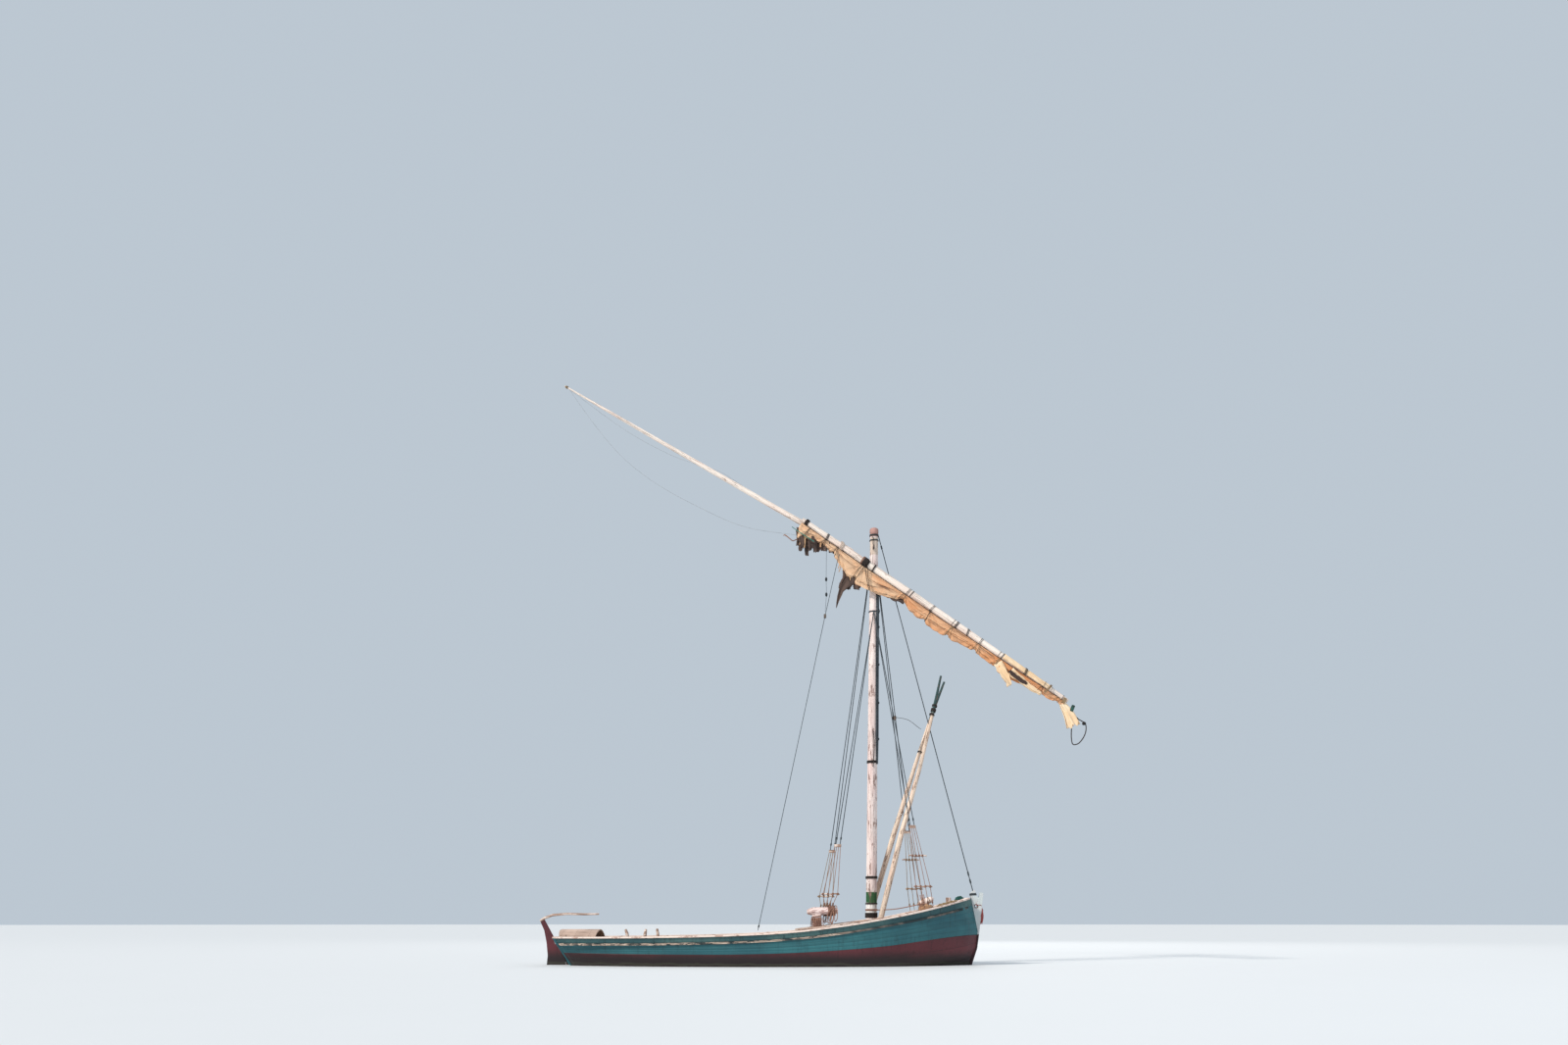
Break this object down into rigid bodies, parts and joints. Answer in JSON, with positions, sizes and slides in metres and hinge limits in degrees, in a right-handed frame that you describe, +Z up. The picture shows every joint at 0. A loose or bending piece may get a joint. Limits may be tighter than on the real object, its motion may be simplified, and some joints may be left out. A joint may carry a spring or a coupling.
{
  "type": "lateen-rigged river cargo sailing boat",
  "caption": "Open wooden river cargo boat afloat: raked mast, slanting lateen yard with its sail furled, open hold, hung rudder.",
  "frame": {"origin": "on the centreline at the waterline, amidships", "axes": "+X towards the bow, +Y to port, +Z up"},
  "size_m": [19.0326, 4.8922, 22.338],
  "materials": {
    "topside_paint": "weathered teal paint on planks",
    "bottom_paint": "dull maroon paint on planks",
    "worn_rail": "bleached bare timber with old pink paint",
    "deck_timber": "worn bare boards",
    "stem_paint": "worn light grey paint",
    "dark_timber": "old dark timber",
    "spar_paint": "chalky white paint on a round spar",
    "canvas": "sun-bleached cotton canvas",
    "net": "heaped fishing net",
    "rope": "laid hemp rope",
    "tarred_rope": "dark weathered rope",
    "iron": "rusty forged iron"
  },
  "bodies": {
    "hull": {"bottom_planking_port": "bottom_paint", "bottom_planking_starboard": "bottom_paint", "topside_planking_port": "topside_paint", "topside_planking_starboard": "topside_paint", "bulwark_port": "topside_paint", "bulwark_starboard": "topside_paint", "cap_rail": "worn_rail", "rubbing_strake_port": "dark_timber", "rubbing_strake_starboard": "dark_timber", "keel": "bottom_paint", "stem": "stem_paint", "transom": "topside_paint", "sternpost": "topside_paint", "deck": "deck_timber", "hatch_coaming": "worn_rail", "hold_floor": "deck_timber", "keelson_and_frames": "dark_timber", "aft_bulkhead": "deck_timber", "fore_bulkhead": "deck_timber", "stern_cover": "worn_rail", "bow_bitt": "worn_rail", "mast_partner": "worn_rail", "spare_timber": "worn_rail", "side_bitt_port": "worn_rail", "side_bitt_starboard": "worn_rail", "canvas_bundle": "canvas", "net_heap": "net", "mast": "spar_paint", "masthead_sheave": "dark_timber", "shrouds_port": "tarred_rope", "shrouds_starboard": "tarred_rope", "forestay": "tarred_rope", "halyard_fall": "tarred_rope", "pole_port": "spar_paint", "pole_starboard": "spar_paint", "rudder_irons": "iron"},
    "rudder": {"rudder": "bottom_paint", "tiller": "worn_rail"},
    "parrel": {"parrel": "rope"},
    "yard": {"yard_lower_spar": "spar_paint", "yard_upper_spar": "spar_paint", "spar_lashing_1": "rope", "spar_lashing_2": "rope", "furled_sail": "canvas"}
  },
  "joints": [
    {"name": "rudder_steer", "type": "hinge", "parent": "hull", "child": "rudder", "pos_m": [-6.805, 0, 0], "axis": [-0.5269, 0, 0.8499], "range_deg": [-38, 38]},
    {"name": "yard_swing", "type": "hinge", "parent": "hull", "child": "parrel", "pos_m": [3.8968, 0, 13.85], "axis": [0.0297, 0, 0.9996], "range_deg": [-35, 8]},
    {"name": "yard_peak", "type": "hinge", "parent": "parrel", "child": "yard", "pos_m": [3.8968, -0.358, 13.85], "axis": [0, 1, 0], "range_deg": [-15, 15]}
  ]
}
